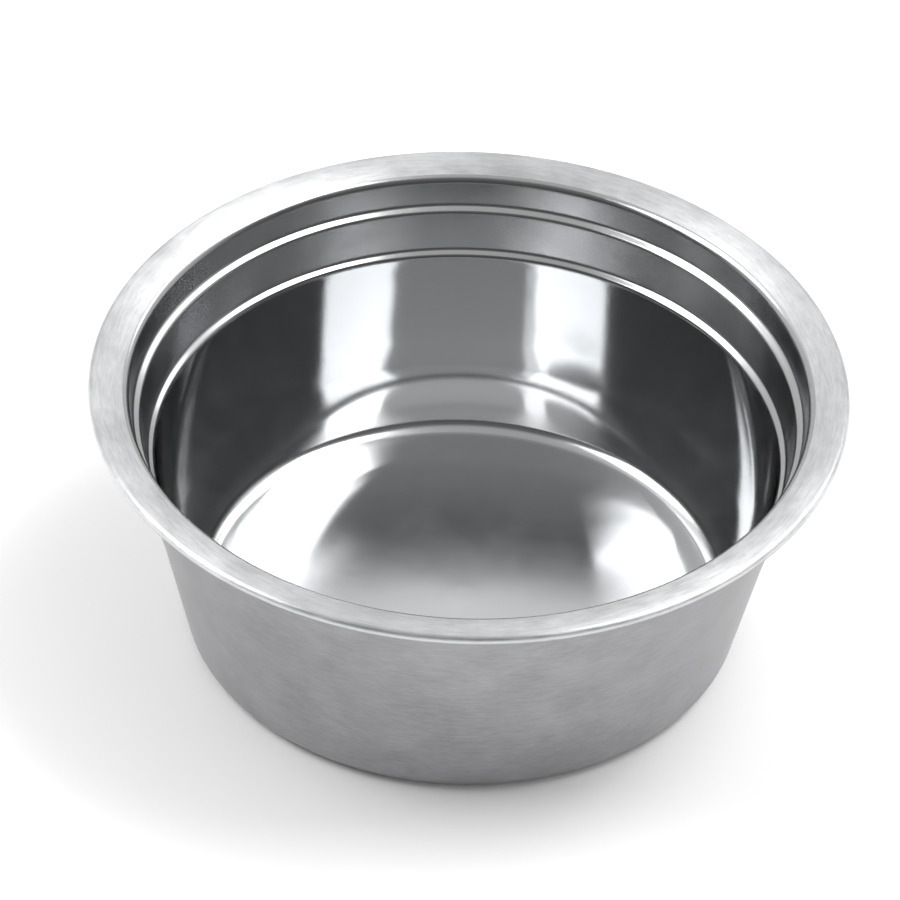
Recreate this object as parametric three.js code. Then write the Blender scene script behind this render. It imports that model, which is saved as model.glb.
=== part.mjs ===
// Double-walled shaving bowl: an inner and an outer shell, each pressed from one round stainless steel sheet,
// with an air gap between them. The inner shell's flange is curled round the outer shell's flange, which makes
// the rim and holds the two together. Millimetres, +Z up, origin at the centre of the flat base.

import * as THREE from 'three';

const HEIGHT = 46; // base to the crown of the rim
const RIM_RADIUS = 60;
const SHEET = 0.4; // thickness of both shells' sheet

const CURL_BEND = 0.85;
const CURL_DEPTH = 1.75; // crown of the rim to the underside of the curl
const CURL_RETURN = 1.9; // how far the curled edge reaches back in under the rim
const SEAM_GAP = 0.28; // between the outer shell's flange and the curl that holds it

const CROWN_RADIUS = 57.2; // where the flange levels off
const CROWN_BEND = 11;
const LIP_RADIUS = 53.7;
const LIP_DROP = 0.95; // crown of the rim to the lip
const LIP_BEND = 1.5;

// Each ledge is a short slope between the walls below and above it.
const UPPER_LEDGE = { foot: [51.7, 39.8], top: [52.9, 40.5], bend: 0.9 };
const LOWER_LEDGE = { foot: [49.35, 32.7], top: [50.45, 33.4], bend: 0.8 };

// The inner wall leans out most at the floor and stands up in two long bends, each round one of these rings.
const LOWER_WAIST = { ring: [44.45, 9.4], bend: 46 };
const UPPER_WAIST = { ring: [48.05, 24], bend: 139 };

const FLOOR_RADIUS = 41.6;
const FLOOR_HEIGHT = 3.2; // at the floor's edge
const FLOOR_DOME = 0.75; // how far the middle of the floor stands above its edge
const FLOOR_BEND = 2.7;
const DOME_CORNER = 19; // where the level middle's line meets the line down to the floor's edge
const DOME_BEND = 1000;

const BASE_RADIUS = 43.15;
const HEEL_BEND = 3.8;
const SIDE_WAIST = [48.5, 21.5]; // the outside leans out a little more above this ring
const SIDE_BEND = 100;
const SHOULDER = [55.1, 44.2]; // where the wall turns out under the rim
const SHOULDER_BEND = 0.8;
const FLANGE_RADIUS = 57.9; // the flange rises to this ring and is level outside it
const FLANGE_BEND = 1.5;
const FLANGE_EDGE = RIM_RADIUS - 1.1;

const SEGMENTS = 60; // round the bowl
const ARC_STEP = THREE.MathUtils.degToRad(30); // largest turn between two points of a bend

// The points of the arc that rounds one corner. Each corner is [radius, height, bend radius].
function bendPoints([r, z, bend], before, after) {
  const corner = new THREE.Vector2(r, z);
  const toBefore = new THREE.Vector2(before[0], before[1]).sub(corner).normalize();
  const toAfter = new THREE.Vector2(after[0], after[1]).sub(corner).normalize();
  const half = Math.acos(toBefore.dot(toAfter)) / 2;
  const middle = toBefore.clone().add(toAfter).normalize();
  const centre = corner.clone().addScaledVector(middle, bend / Math.sin(half));
  const start = corner.clone().addScaledVector(toBefore, bend / Math.tan(half));
  const turn = Math.sign(toAfter.cross(toBefore)) * (Math.PI - 2 * half);
  const steps = Math.max(2, Math.ceil(Math.abs(turn) / ARC_STEP));
  return Array.from({ length: steps + 1 }, (_, k) => start.clone().rotateAround(centre, (turn * k) / steps));
}

// An outline through the corners, with an arc at each one that has a bend radius.
function bentOutline(corners) {
  return corners.flatMap((corner, i) =>
    corner.length > 2 ? bendPoints(corner, corners[i - 1], corners[i + 1]) : [new THREE.Vector2(...corner)],
  );
}

// The outline moved sideways by distance: to its left where that is positive, to its right where it is negative.
function offsetOutline(points, distance) {
  const sides = points.slice(1).map((point, i) => {
    const along = point.clone().sub(points[i]).normalize();
    return new THREE.Vector2(-along.y, along.x);
  });
  return points.map((point, i) => {
    const side = sides[Math.max(i - 1, 0)];
    const mitre = side.clone().add(sides[Math.min(i, sides.length - 1)]).normalize();
    return point.clone().addScaledVector(mitre, distance / mitre.dot(side));
  });
}

// A pressed shell: one face's outline from the axis to the sheet's edge, thickened to one side and turned
// round the axis.
function pressedShell(name, corners, thickness, material) {
  const face = bentOutline(corners);
  const back = offsetOutline(face, thickness);
  const section = thickness < 0 ? [...back, ...face.reverse()] : [...face, ...back.reverse()];
  const geometry = new THREE.LatheGeometry(section, SEGMENTS).rotateX(Math.PI / 2);
  const shell = new THREE.Mesh(geometry, material);
  shell.name = name;
  return shell;
}

// Inside: domed floor, flared wall, two ledges under the rim, lip, crowned flange and curl.
function innerShell() {
  const domeHeight = FLOOR_HEIGHT + FLOOR_DOME;
  const curlHeight = HEIGHT - CURL_DEPTH;
  const corners = [
    [0, domeHeight],
    [DOME_CORNER, domeHeight, DOME_BEND],
    [FLOOR_RADIUS, FLOOR_HEIGHT, FLOOR_BEND],
    [...LOWER_WAIST.ring, LOWER_WAIST.bend],
    [...UPPER_WAIST.ring, UPPER_WAIST.bend],
    [...LOWER_LEDGE.foot, LOWER_LEDGE.bend],
    [...LOWER_LEDGE.top, LOWER_LEDGE.bend],
    [...UPPER_LEDGE.foot, UPPER_LEDGE.bend],
    [...UPPER_LEDGE.top, UPPER_LEDGE.bend],
    [LIP_RADIUS, HEIGHT - LIP_DROP, LIP_BEND],
    [CROWN_RADIUS, HEIGHT, CROWN_BEND],
    [RIM_RADIUS, HEIGHT, CURL_BEND],
    [RIM_RADIUS, curlHeight, CURL_BEND],
    [RIM_RADIUS - CURL_RETURN, curlHeight],
  ];
  const polishedSteel = new THREE.MeshStandardMaterial({ color: 0xd4d6d8, roughness: 0.08, metalness: 1 });
  return pressedShell('inner_shell', corners, -SHEET, polishedSteel);
}

// Outside: flat base, rounded heel, flared wall, and the flange that follows the rim's underside into the curl.
function outerShell() {
  const flangeHeight = HEIGHT - CURL_DEPTH + SHEET + SEAM_GAP;
  const corners = [
    [0, 0],
    [BASE_RADIUS, 0, HEEL_BEND],
    [...SIDE_WAIST, SIDE_BEND],
    [...SHOULDER, SHOULDER_BEND],
    [FLANGE_RADIUS, flangeHeight, FLANGE_BEND],
    [FLANGE_EDGE, flangeHeight],
  ];
  const satinSteel = new THREE.MeshStandardMaterial({ color: 0xb9bbbd, roughness: 0.38, metalness: 1 });
  return pressedShell('outer_shell', corners, SHEET, satinSteel);
}

const bowl = new THREE.Group();
bowl.add(innerShell(), outerShell());

export default bowl;
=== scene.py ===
"""A double-walled stainless steel shaving bowl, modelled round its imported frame: two pressed shells, a stage
and a camera."""

import math

import bmesh
import bpy
from mathutils import Matrix, Vector


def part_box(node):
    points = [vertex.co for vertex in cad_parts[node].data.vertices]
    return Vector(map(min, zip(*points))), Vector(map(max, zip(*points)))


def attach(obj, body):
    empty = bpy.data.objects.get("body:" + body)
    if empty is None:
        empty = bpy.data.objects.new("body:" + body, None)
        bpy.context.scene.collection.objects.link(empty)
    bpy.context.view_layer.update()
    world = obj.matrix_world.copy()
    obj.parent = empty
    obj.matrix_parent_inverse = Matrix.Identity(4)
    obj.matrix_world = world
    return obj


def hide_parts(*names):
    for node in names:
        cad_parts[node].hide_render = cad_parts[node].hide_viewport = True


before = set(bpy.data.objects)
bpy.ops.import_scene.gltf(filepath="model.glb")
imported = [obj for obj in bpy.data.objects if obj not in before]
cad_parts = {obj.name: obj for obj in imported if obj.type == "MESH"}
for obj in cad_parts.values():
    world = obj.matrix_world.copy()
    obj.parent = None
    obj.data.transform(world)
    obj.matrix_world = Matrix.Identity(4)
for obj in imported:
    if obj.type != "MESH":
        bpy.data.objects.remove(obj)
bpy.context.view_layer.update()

bl_info = {
    "name": "Shaving Bowl",
    "version": (1, 0, 0),
    "blender": (4, 5, 0),
    "location": "View3D > Sidebar > Shaving Bowl",
    "description": "Makes a double-walled stainless steel shaving bowl, its stage and its camera",
    "category": "Object",
}

MM = 0.001
RIM_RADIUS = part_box("inner_shell")[1].x
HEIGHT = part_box("inner_shell")[1].z
BASE_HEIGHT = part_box("outer_shell")[0].z

SIDES = 240  # facets round each shell
LAMP_DISTANCE = 2.0  # metres from the bowl to each lamp
FLOOR_RADIUS = 12  # metres
NEAR = 1e-5  # how close, in metres, a point lies to a ring that it belongs to
CENTRE_FAN = 0.96  # share of the first disc that one fan of triangles fills

GROOVE_WIDTH = 0.35 * MM  # a real brush line is finer still, too fine to show
GROOVE_STRETCH = 6 * MM  # smaller makes longer grooves
CLOUD_WIDTH = 9 * MM
RIPPLE_WIDTH = 7 * MM
SEAM_SHADE_BRIGHTNESS = 0.3  # how much of its brightness the steel keeps in the painted shade of the seam
SEAM_SHADE_FADE = 0.8 * MM  # over how much height the painted shade of the seam fades out
QUARTER_TURN = 0.25  # from along the grooves to across them

CAMERA_ELEVATION = math.radians(40.03)
CAMERA_ROLL = math.radians(-2.13)
CAMERA_DISTANCE = 3153.6 * MM
CAMERA_LENS = 801.7  # millimetres, on a sensor 36 mm wide
SENSOR_WIDTH = 36
AIM_LEFT = 2.69 * MM  # how far left of the rim's centre the camera aims, and how far below it
AIM_DOWN = 9.47 * MM

# Corners of the inner shell's section, as radius and height. The wall stands up in two long bends, one at
# each waist, and each ledge is a short slope between two walls.
LOWER_WAIST = (44.45 * MM, 9.4 * MM)
UPPER_WAIST = (48.05 * MM, 24 * MM)
LOWER_LEDGE_FOOT = (49.35 * MM, 32.7 * MM)
LOWER_LEDGE_TOP = (50.45 * MM, 33.4 * MM)
UPPER_LEDGE_FOOT = (51.7 * MM, 39.8 * MM)
UPPER_LEDGE_TOP = (52.9 * MM, 40.5 * MM)
DOME_CORNER = 19 * MM  # where the level middle's line meets the line down to the floor's edge
DOME_BEND = 1000 * MM


def length(name, text, millimetres):
    """A size that a user can change, shown in the scene's length unit."""
    return bpy.props.FloatProperty(
        name=name, description=text, default=millimetres * MM, unit="LENGTH", precision=5
    )


def colour(name, text, sheet_colour):
    """A colour that a user can change, given as an sRGB hex value."""
    return bpy.props.FloatVectorProperty(
        name=name, description=text, default=linear(sheet_colour), subtype="COLOR", size=3, min=0, max=1
    )


def linear(hex_colour):
    """The linear red, green and blue of an sRGB hex value such as "C8CACB"."""
    parts = [int(hex_colour[i : i + 2], 16) / 255 for i in (0, 2, 4)]
    return tuple(c / 12.92 if c <= 0.04045 else ((c + 0.055) / 1.055) ** 2.4 for c in parts)


class BowlSizes(bpy.types.PropertyGroup):
    """Sizes of the two shells. The rim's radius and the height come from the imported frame."""

    sheet: length("Sheet", "Thickness of both shells' sheet", 0.4)
    floor_radius: length("Floor radius", "Where the floor's line meets the wall's line", 41.6)
    floor_height: length("Floor height", "The edge of the inside floor above the base", 3.2)
    floor_dome: length("Floor dome", "How far the middle of the floor stands above its edge", 0.75)
    floor_bend: length("Floor bend", "Radius of the bend round the floor", 2.7)
    lower_bend: length("Lower wall bend", "Radius of the long bend at the wall's lower waist", 46)
    upper_bend: length("Upper wall bend", "Radius of the long bend at the wall's upper waist", 139)
    ledge_bend: length("Ledge bend", "Radius of the bends at both ledges", 0.85)
    lip_radius: length("Lip radius", "Where the neck's line meets the flange's line", 53.7)
    lip_drop: length("Lip drop", "Crown of the rim down to the lip", 0.95)
    lip_bend: length("Lip bend", "Radius of the bend at the lip", 1.5)
    crown_radius: length("Crown radius", "Where the flange levels off", 57.2)
    crown_bend: length("Crown bend", "Radius of the bend along the crown of the rim", 11)
    curl_bend: length("Curl bend", "Outer radius of the curled edge", 0.85)
    curl_depth: length("Curl depth", "Crown of the rim down to the underside of the curl", 1.75)
    curl_return: length("Curl return", "How far the curled edge reaches back in under the rim", 1.9)
    base_radius: length("Base radius", "Where the base's plane meets the outside wall's line", 43.15)
    heel_bend: length("Heel bend", "Radius of the bend round the base", 3.8)
    side_radius: length("Side radius", "Outside radius where the outside wall's two slopes meet", 48.5)
    side_height: length("Side height", "Height where the outside wall's two slopes meet", 21.5)
    side_bend: length("Side bend", "Radius of the long bend between the outside wall's two slopes", 100)
    shoulder_radius: length("Shoulder radius", "Where the outside wall turns out under the rim", 55.1)
    shoulder_height: length("Shoulder height", "Height where that wall turns out under the rim", 44.2)
    shoulder_bend: length("Shoulder bend", "Radius of the bend at the shoulder", 0.8)
    flange_radius: length("Flange radius", "Where the outer shell's flange becomes level", 57.9)
    flange_bend: length("Flange bend", "Radius of the bend where that flange becomes level", 1.5)


def share(name, text, value):
    """A plain number from 0 to 1 that a user can change."""
    return bpy.props.FloatProperty(
        name=name, description=text, default=value, min=0, max=1, subtype="FACTOR"
    )


class SteelFinish(bpy.types.PropertyGroup):
    """Colours and roughness of the steel's finishes, and the floor's colour."""

    polished: colour("Polished steel", "Mirror-polished stainless steel inside the bowl", "BDBEBF")
    wall_haze: share("Wall haze", "Roughness of the polished wall", 0.06)
    floor_haze: share("Floor haze", "Roughness of the polished floor", 0.2)
    neck_haze: share("Neck haze", "Roughness of the neck above the lower ledge", 0.22)
    rim: colour("Rim steel", "Brushed stainless steel on the rim", "D0D1D2")
    rim_roughness: share("Rim roughness", "How far the brushed rim spreads a reflection", 0.42)
    # Painted shade: the outside's brushed steel is the rim's steel painted darker, a shaded copy of it.
    side: colour("Side steel", "Brushed stainless steel outside", "A3A3A5")
    side_roughness: share("Side roughness", "How far the brushed outside spreads a reflection", 0.4)
    floor: colour("Floor", "The pale floor that the bowl stands on", "F4F4F4")


def add_node(tree, kind, settings=None, values=None, links=None):
    """Adds one node with its settings, its sockets' values, and links to them from other nodes' outputs."""
    node = tree.nodes.new(kind)
    for name, value in (settings or {}).items():
        setattr(node, name, value)
    for name, value in (values or {}).items():
        node.inputs[name].default_value = value
    for name, output in (links or {}).items():
        tree.links.new(output, node.inputs[name])
    return node


def new_material(name):
    """An empty material and its node tree."""
    material = bpy.data.materials.new(name)
    material.use_nodes = True
    material.node_tree.nodes.clear()
    return material, material.node_tree


def polished_stainless(finish):
    """Mirror-polished stainless steel: sharp reflections on the wall, softer ones on the floor, where the
    buffing wheel doesn't reach as well and brushes tap the metal, and soft wavy ones on the neck."""
    material, tree = new_material("polished_stainless")
    place = add_node(tree, "ShaderNodeTexCoord")
    apart = add_node(tree, "ShaderNodeSeparateXYZ", links={"Vector": place.outputs["Object"]})
    neck = add_node(
        tree,
        "ShaderNodeMapRange",
        {"interpolation_type": "SMOOTHSTEP"},
        {"From Min": 31.5 * MM, "From Max": 34 * MM},
        {"Value": apart.outputs["Z"]},
    )
    ripple = add_node(
        tree,
        "ShaderNodeTexNoise",
        values={"Scale": 1 / RIPPLE_WIDTH, "Detail": 1.5, "Roughness": 0.4},
        links={"Vector": place.outputs["Object"]},
    )
    waviness = add_node(
        tree,
        "ShaderNodeMapRange",
        values={"To Min": 0.04, "To Max": 0.6},
        links={"Value": neck.outputs["Result"]},
    )
    bump = add_node(
        tree,
        "ShaderNodeBump",
        values={"Distance": 0.1 * MM},
        links={"Height": ripple.outputs["Fac"], "Strength": waviness.outputs["Result"]},
    )
    wall_or_floor = add_node(
        tree,
        "ShaderNodeMapRange",
        {"interpolation_type": "SMOOTHSTEP"},
        {
            "From Min": 4.2 * MM,
            "From Max": 8 * MM,
            "To Min": finish.floor_haze,
            "To Max": finish.wall_haze,
        },
        {"Value": apart.outputs["Z"]},
    )
    parts = add_node(
        tree,
        "ShaderNodeMix",
        {"data_type": "FLOAT"},
        {"B": finish.neck_haze},
        {"Factor": neck.outputs["Result"], "A": wall_or_floor.outputs["Result"]},
    )
    smears = add_node(
        tree,
        "ShaderNodeTexNoise",
        values={"Scale": 1 / RIPPLE_WIDTH, "Detail": 3.0},
        links={"Vector": place.outputs["Object"]},
    )
    uneven = add_node(
        tree,
        "ShaderNodeMapRange",
        values={"From Min": 0.35, "From Max": 0.7, "To Min": 0.9, "To Max": 1.12},
        links={"Value": smears.outputs["Fac"]},
    )
    haze = add_node(
        tree,
        "ShaderNodeMath",
        {"operation": "MULTIPLY"},
        links={0: parts.outputs[0], 1: uneven.outputs["Result"]},
    )
    shader = add_node(
        tree,
        "ShaderNodeBsdfPrincipled",
        values={"Base Color": (*finish.polished, 1), "Metallic": 1.0},
        links={"Roughness": haze.outputs["Value"], "Normal": bump.outputs["Normal"]},
    )
    add_node(tree, "ShaderNodeOutputMaterial", links={"Surface": shader.outputs["BSDF"]})
    return material


def satin_stainless(name, colour_of_steel, roughness, across, shade_height, unshaded_height):
    """Satin stainless steel, brushed round its axis: fine grooves follow the turn and spread reflections
    across it, faint clouds show where the belt pressed harder, and painted shade darkens the steel into the
    seam under the rim. across is how much wider the spread is across the grooves."""
    material, tree = new_material(name)
    place = add_node(tree, "ShaderNodeTexCoord")
    apart = add_node(tree, "ShaderNodeSeparateXYZ", links={"Vector": place.outputs["Object"]})
    level = add_node(
        tree,
        "ShaderNodeVectorMath",
        {"operation": "MULTIPLY"},
        {1: (1, 1, 0)},
        {0: place.outputs["Object"]},
    )
    radius = add_node(
        tree,
        "ShaderNodeVectorMath",
        {"operation": "LENGTH"},
        links={0: level.outputs["Vector"]},
    )
    turn = add_node(
        tree,
        "ShaderNodeMath",
        {"operation": "ARCTAN2"},
        links={0: apart.outputs["Y"], 1: apart.outputs["X"]},
    )
    arc = add_node(
        tree,
        "ShaderNodeMath",
        {"operation": "MULTIPLY"},
        {1: GROOVE_STRETCH},
        {0: turn.outputs["Value"]},
    )
    groove_place = add_node(
        tree,
        "ShaderNodeCombineXYZ",
        links={"X": radius.outputs["Value"], "Y": apart.outputs["Z"], "Z": arc.outputs["Value"]},
    )
    grooves = add_node(
        tree,
        "ShaderNodeTexNoise",
        values={"Scale": 1 / GROOVE_WIDTH, "Detail": 3.0, "Roughness": 0.65},
        links={"Vector": groove_place.outputs["Vector"]},
    )
    clouds = add_node(
        tree,
        "ShaderNodeTexNoise",
        values={"Scale": 1 / CLOUD_WIDTH, "Detail": 4.0, "Roughness": 0.6},
        links={"Vector": place.outputs["Object"]},
    )
    grain = add_node(
        tree,
        "ShaderNodeMix",
        {"data_type": "FLOAT"},
        {"Factor": 0.5},
        {"A": grooves.outputs["Fac"], "B": clouds.outputs["Fac"]},
    )
    spread = add_node(
        tree,
        "ShaderNodeMapRange",
        values={
            "From Min": 0.35,
            "From Max": 0.65,
            "To Min": roughness - 0.06,
            "To Max": roughness + 0.06,
        },
        links={"Value": grain.outputs[0]},
    )
    tone = add_node(
        tree,
        "ShaderNodeMapRange",
        values={"From Min": 0.35, "From Max": 0.65, "To Min": 0.82, "To Max": 1.16},
        links={"Value": grain.outputs[0]},
    )
    # Painted shade: the steel's colour darkens between these two heights, into the seam under the rim.
    painted_seam_shade = add_node(
        tree,
        "ShaderNodeMapRange",
        {"interpolation_type": "SMOOTHSTEP"},
        {"From Min": shade_height, "From Max": unshaded_height, "To Min": SEAM_SHADE_BRIGHTNESS},
        {"Value": apart.outputs["Z"]},
    )
    tint = add_node(
        tree,
        "ShaderNodeMath",
        {"operation": "MULTIPLY"},
        links={0: tone.outputs["Result"], 1: painted_seam_shade.outputs["Result"]},
    )
    shaded = add_node(
        tree,
        "ShaderNodeVectorMath",
        {"operation": "SCALE"},
        {0: colour_of_steel},
        {"Scale": tint.outputs["Value"]},
    )
    bump = add_node(
        tree,
        "ShaderNodeBump",
        values={"Strength": 0.4, "Distance": 0.02 * MM},
        links={"Height": grooves.outputs["Fac"]},
    )
    tangent = add_node(tree, "ShaderNodeTangent", {"direction_type": "RADIAL", "axis": "Z"})
    shader = add_node(
        tree,
        "ShaderNodeBsdfPrincipled",
        values={"Metallic": 1.0, "Anisotropic": across, "Anisotropic Rotation": QUARTER_TURN},
        links={
            "Base Color": shaded.outputs["Vector"],
            "Roughness": spread.outputs["Result"],
            "Normal": bump.outputs["Normal"],
            "Tangent": tangent.outputs["Tangent"],
        },
    )
    add_node(tree, "ShaderNodeOutputMaterial", links={"Surface": shader.outputs["BSDF"]})
    return material


def select_ring(mesh, place):
    """In edit mode, selects only the edges of the ring at place, a (radius, height) point."""
    shape = bmesh.from_edit_mesh(mesh)
    for edge in shape.edges:
        on_ring = all((Vector((v.co.xy.length, v.co.z)) - place).length < NEAR for v in edge.verts)
        edge.select_set(on_ring)
    shape.select_flush_mode()
    bmesh.update_edit_mesh(mesh)


def bend_length(corner, before, after, bend):
    """How far along both sides a bend of this radius reaches from its corner."""
    half = (before - corner).angle(after - corner) / 2
    return bend / math.tan(half)


def pressed_sheet(name, corners, sheet, faces_up):
    """A shell pressed from one round sheet. Each corner of its section is (radius, height, bend radius,
    facets of the bend), and they run from the first corner off the axis to the sheet's edge, which has no
    bend."""
    points = [Vector(corner[:2]) for corner in corners]
    start = points[0]
    bpy.ops.object.select_all(action="DESELECT")
    bpy.ops.mesh.primitive_circle_add(
        vertices=SIDES, radius=start.x, fill_type="NGON", location=(0, 0, start.y)
    )
    piece = bpy.context.object
    piece.name = piece.data.name = name
    bpy.ops.object.transform_apply(location=True)
    bpy.ops.object.mode_set(mode="EDIT")
    bpy.ops.mesh.select_mode(type="FACE")
    bpy.ops.mesh.select_all(action="SELECT")
    bpy.ops.mesh.inset(thickness=start.x * CENTRE_FAN)
    bpy.ops.mesh.poke()
    bpy.ops.mesh.select_mode(type="EDGE")
    select_ring(piece.data, start)
    for here, there in zip(points, points[1:]):
        bpy.ops.mesh.extrude_region_move(TRANSFORM_OT_translate={"value": (0, 0, there.y - here.y)})
        scale = there.x / here.x
        bpy.ops.transform.resize(value=(scale, scale, 1), center_override=(0, 0, there.y))
    before = Vector((0, start.y))
    for (*_, bend, facets), corner, after in zip(corners, points, points[1:]):
        select_ring(piece.data, corner)
        bpy.ops.mesh.bevel(
            offset_type="OFFSET",
            offset=bend_length(corner, before, after, bend),
            segments=facets,
            profile=0.5,
            affect="EDGES",
            clamp_overlap=False,
            loop_slide=False,
        )
        before = corner
    bpy.ops.mesh.select_all(action="SELECT")
    bpy.ops.mesh.remove_doubles(threshold=NEAR / 10)
    bpy.ops.mesh.normals_make_consistent(inside=False)
    bpy.ops.object.mode_set(mode="OBJECT")
    middle = min(piece.data.polygons, key=lambda face: face.center.xy.length)
    if (middle.normal.z > 0) != faces_up:
        bpy.ops.object.mode_set(mode="EDIT")
        bpy.ops.mesh.select_all(action="SELECT")
        bpy.ops.mesh.flip_normals()
        bpy.ops.object.mode_set(mode="OBJECT")
    wall = piece.modifiers.new("sheet", "SOLIDIFY")
    wall.thickness = sheet
    wall.offset = -1
    bpy.ops.object.modifier_apply(modifier=wall.name)
    bpy.ops.object.shade_smooth_by_angle(angle=math.radians(40))
    weights = piece.modifiers.new("normals", "WEIGHTED_NORMAL")
    weights.keep_sharp = True
    bpy.ops.object.modifier_apply(modifier=weights.name)
    return piece


class BOWL_OT_inner_shell(bpy.types.Operator):
    """Make the inner shell: floor, wall, two ledges, lip, flange and curled edge"""

    bl_idname = "shaving_bowl.inner_shell"
    bl_label = "Inner Shell"

    def execute(self, context):
        size = context.scene.bowl_sizes
        curl_height = HEIGHT - size.curl_depth
        corners = [
            (DOME_CORNER, size.floor_height + size.floor_dome, DOME_BEND, 6),
            (size.floor_radius, size.floor_height, size.floor_bend, 12),
            (*LOWER_WAIST, size.lower_bend, 10),
            (*UPPER_WAIST, size.upper_bend, 8),
            (*LOWER_LEDGE_FOOT, size.ledge_bend, 6),
            (*LOWER_LEDGE_TOP, size.ledge_bend, 6),
            (*UPPER_LEDGE_FOOT, size.ledge_bend, 6),
            (*UPPER_LEDGE_TOP, size.ledge_bend, 6),
            (size.lip_radius, HEIGHT - size.lip_drop, size.lip_bend, 10),
            (size.crown_radius, HEIGHT, size.crown_bend, 6),
            (RIM_RADIUS, HEIGHT, size.curl_bend, 10),
            (RIM_RADIUS, curl_height, size.curl_bend, 10),
            (RIM_RADIUS - size.curl_return, curl_height),
        ]
        piece = pressed_sheet("inner_shell_sheet", corners, size.sheet, faces_up=True)
        finish = context.scene.steel_finish
        piece.data.materials.append(polished_stainless(finish))
        # Painted shade darkens the rim's steel below this height, on the curl's underside and inside the curl.
        underside = curl_height + 0.1 * MM
        brushed_rim = satin_stainless(
            "brushed_rim", finish.rim, finish.rim_roughness, 0.7, underside, underside + SEAM_SHADE_FADE
        )
        piece.data.materials.append(brushed_rim)
        for face in piece.data.polygons:
            brushed = face.center.xy.length > size.lip_radius + 1.0 * MM
            face.material_index = 1 if brushed else 0
        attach(piece, "root")
        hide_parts("inner_shell")
        return {"FINISHED"}


class BOWL_OT_outer_shell(bpy.types.Operator):
    """Make the outer shell: flat base, rounded heel, flared wall and the flange inside the curl"""

    bl_idname = "shaving_bowl.outer_shell"
    bl_label = "Outer Shell"

    def execute(self, context):
        size = context.scene.bowl_sizes
        flange_edge, flange_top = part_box("outer_shell")[1].x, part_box("outer_shell")[1].z
        corners = [
            (size.base_radius, BASE_HEIGHT, size.heel_bend, 12),
            (size.side_radius, size.side_height, size.side_bend, 6),
            (size.shoulder_radius, size.shoulder_height, size.shoulder_bend, 6),
            (size.flange_radius, flange_top - size.sheet, size.flange_bend, 4),
            (flange_edge, flange_top - size.sheet),
        ]
        piece = pressed_sheet("outer_shell_sheet", corners, size.sheet, faces_up=False)
        finish = context.scene.steel_finish
        # Painted shade darkens the outside steel above the shoulder, in the seam under the rim.
        under_rim = size.shoulder_height
        brushed_side = satin_stainless(
            "brushed_side", finish.side, finish.side_roughness, 0.4, under_rim, under_rim - SEAM_SHADE_FADE
        )
        piece.data.materials.append(brushed_side)
        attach(piece, "root")
        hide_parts("outer_shell")
        return {"FINISHED"}


def towards(azimuth, elevation):
    """The direction at this azimuth, in degrees clockwise from +Y, and this elevation."""
    a, e = math.radians(azimuth), math.radians(elevation)
    return Vector((math.sin(a) * math.cos(e), math.cos(a) * math.cos(e), math.sin(e)))


def softbox(name, azimuth, elevation, wide, tall, radiance):
    """A soft rectangular lamp that faces the bowl, wide and tall by so many degrees, as the bowl sees it."""
    lamp = bpy.data.lights.new(name, "AREA")
    lamp.shape = "RECTANGLE"
    lamp.size = 2 * LAMP_DISTANCE * math.tan(math.radians(wide / 2))
    lamp.size_y = 2 * LAMP_DISTANCE * math.tan(math.radians(tall / 2))
    lamp.energy = radiance * math.pi * lamp.size * lamp.size_y
    item = bpy.data.objects.new(name, lamp)
    item.location = towards(azimuth, elevation) * LAMP_DISTANCE
    item.rotation_euler = item.location.to_track_quat("Z", "Y").to_euler()
    item.visible_camera = False
    bpy.context.scene.collection.objects.link(item)


def floor_fill():
    """A broad soft light from the front right that lifts the shadow on the floor. Steel doesn't mirror it."""
    lamp = bpy.data.lights.new("floor_fill", "SUN")
    lamp.energy = 1.2
    lamp.angle = math.radians(90)
    item = bpy.data.objects.new("floor_fill", lamp)
    item.rotation_euler = towards(130, 38).to_track_quat("Z", "Y").to_euler()
    item.visible_glossy = False
    bpy.context.scene.collection.objects.link(item)


def studio_room():
    """The room round the stage: pale behind the bowl and darker low down, mid grey overhead, dark at the
    front, and white where it is seen."""
    world = bpy.data.worlds.new("studio_room")
    world.use_nodes = True
    tree = world.node_tree
    tree.nodes.clear()
    place = add_node(tree, "ShaderNodeTexCoord")
    apart = add_node(tree, "ShaderNodeSeparateXYZ", links={"Vector": place.outputs["Generated"]})
    depth = add_node(
        tree,
        "ShaderNodeMapRange",
        {"interpolation_type": "SMOOTHSTEP"},
        {"From Min": -0.35, "From Max": 0.35, "To Min": 0.17, "To Max": 1.2},
        {"Value": apart.outputs["Y"]},
    )
    skirting = add_node(
        tree,
        "ShaderNodeMapRange",
        {"interpolation_type": "SMOOTHSTEP"},
        {"From Min": 0.48, "From Max": 0.66, "To Min": 0.6, "To Max": 1.0},
        {"Value": apart.outputs["Z"]},
    )
    walls = add_node(
        tree,
        "ShaderNodeMath",
        {"operation": "MULTIPLY"},
        links={0: depth.outputs["Result"], 1: skirting.outputs["Result"]},
    )
    ceiling = add_node(
        tree,
        "ShaderNodeMapRange",
        {"interpolation_type": "SMOOTHSTEP"},
        {"From Min": 0.8, "From Max": 0.95},
        {"Value": apart.outputs["Z"]},
    )
    strength = add_node(
        tree,
        "ShaderNodeMix",
        {"data_type": "FLOAT"},
        {"B": 0.6},
        {"Factor": ceiling.outputs["Result"], "A": walls.outputs["Value"]},
    )
    room = add_node(
        tree,
        "ShaderNodeBackground",
        values={"Color": (1, 1, 1, 1)},
        links={"Strength": strength.outputs[0]},
    )
    white = add_node(tree, "ShaderNodeBackground", values={"Color": (1, 1, 1, 1), "Strength": 1.0})
    ray = add_node(tree, "ShaderNodeLightPath")
    seen = add_node(
        tree,
        "ShaderNodeMixShader",
        links={0: ray.outputs["Is Camera Ray"], 1: room.outputs[0], 2: white.outputs[0]},
    )
    add_node(tree, "ShaderNodeOutputWorld", links={"Surface": seen.outputs[0]})
    return world


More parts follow.
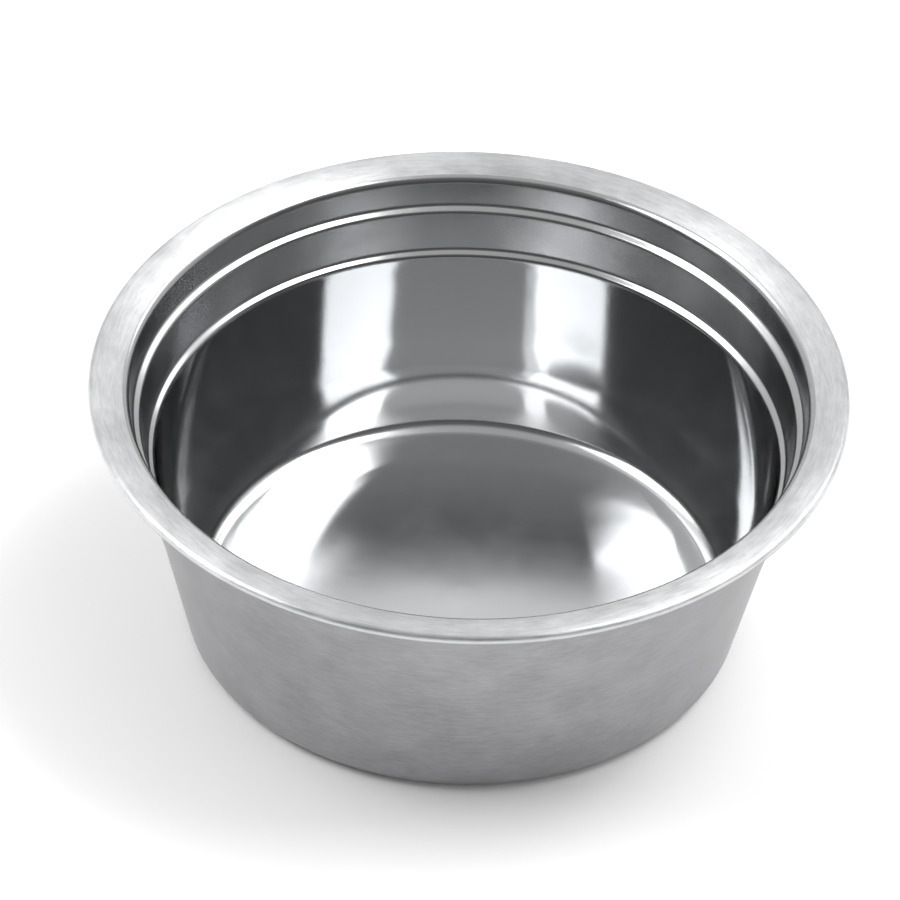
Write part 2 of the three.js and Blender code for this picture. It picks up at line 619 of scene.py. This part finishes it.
class BOWL_OT_stage(bpy.types.Operator):
    """Make the pale floor, the soft studio light and the camera"""

    bl_idname = "shaving_bowl.stage"
    bl_label = "Stage"

    def execute(self, context):
        scene = context.scene
        bpy.ops.object.select_all(action="DESELECT")
        bpy.ops.mesh.primitive_circle_add(
            vertices=96, radius=FLOOR_RADIUS, fill_type="NGON", location=(0, 0, BASE_HEIGHT)
        )
        floor = context.object
        floor.name = "floor"
        bpy.ops.object.transform_apply(location=True)
        # Matt white paint: it spreads the light evenly and shows only soft shadows.
        material, tree = new_material("painted_floor")
        shader = add_node(
            tree,
            "ShaderNodeBsdfPrincipled",
            values={
                "Base Color": (*scene.steel_finish.floor, 1),
                "Roughness": 0.7,
                "Specular IOR Level": 0.1,
            },
        )
        add_node(tree, "ShaderNodeOutputMaterial", links={"Surface": shader.outputs["BSDF"]})
        floor.data.materials.append(material)

        scene.world = studio_room()
        for name, azimuth, elevation, wide, tall, radiance in (
            ("left_box", -88, 46, 34, 27, 6.0),
            ("right_box", 76, 60, 34, 27, 6.0),
            ("right_strip", 49, 38, 12, 28, 2.6),
        ):
            softbox(name, azimuth, elevation, wide, tall, radiance)
        floor_fill()

        scene.view_settings.view_transform = "Standard"
        place_camera(scene)
        return {"FINISHED"}


def place_camera(scene):
    """A long lens that looks down on the bowl from the front, turned a little off level."""
    back = Vector((0, -math.cos(CAMERA_ELEVATION), math.sin(CAMERA_ELEVATION)))
    right = Vector((1, 0, 0))
    up = back.cross(right)
    target = Vector((0, 0, HEIGHT)) - right * AIM_LEFT - up * AIM_DOWN
    camera = bpy.data.cameras.new("camera")
    camera.sensor_width = SENSOR_WIDTH
    camera.lens = CAMERA_LENS
    item = bpy.data.objects.new("camera", camera)
    side = right * math.cos(CAMERA_ROLL) - up * math.sin(CAMERA_ROLL)
    top = right * math.sin(CAMERA_ROLL) + up * math.cos(CAMERA_ROLL)
    turned = Matrix((side, top, back)).transposed().to_4x4()
    item.matrix_world = Matrix.Translation(target + back * CAMERA_DISTANCE) @ turned
    scene.collection.objects.link(item)
    scene.camera = item


class BOWL_PT_panel(bpy.types.Panel):
    """Buttons for the shells and the stage, and the sizes and colours that they use"""

    bl_idname = "BOWL_PT_panel"
    bl_label = "Shaving Bowl"
    bl_space_type = "VIEW_3D"
    bl_region_type = "UI"
    bl_category = "Shaving Bowl"

    def draw(self, context):
        for step in STEPS:
            self.layout.operator(step.bl_idname)
        for group in (context.scene.bowl_sizes, context.scene.steel_finish):
            for name in group.__annotations__:
                self.layout.prop(group, name)


STEPS = (BOWL_OT_stage, BOWL_OT_inner_shell, BOWL_OT_outer_shell)
CLASSES = (BowlSizes, SteelFinish, *STEPS, BOWL_PT_panel)


def register():
    for each in CLASSES:
        bpy.utils.register_class(each)
    bpy.types.Scene.bowl_sizes = bpy.props.PointerProperty(type=BowlSizes)
    bpy.types.Scene.steel_finish = bpy.props.PointerProperty(type=SteelFinish)


def unregister():
    del bpy.types.Scene.steel_finish
    del bpy.types.Scene.bowl_sizes
    for each in reversed(CLASSES):
        bpy.utils.unregister_class(each)


def main():
    register()
    bpy.ops.shaving_bowl.stage()
    bpy.ops.shaving_bowl.inner_shell()
    bpy.ops.shaving_bowl.outer_shell()


if __name__ == "__main__":
    main()
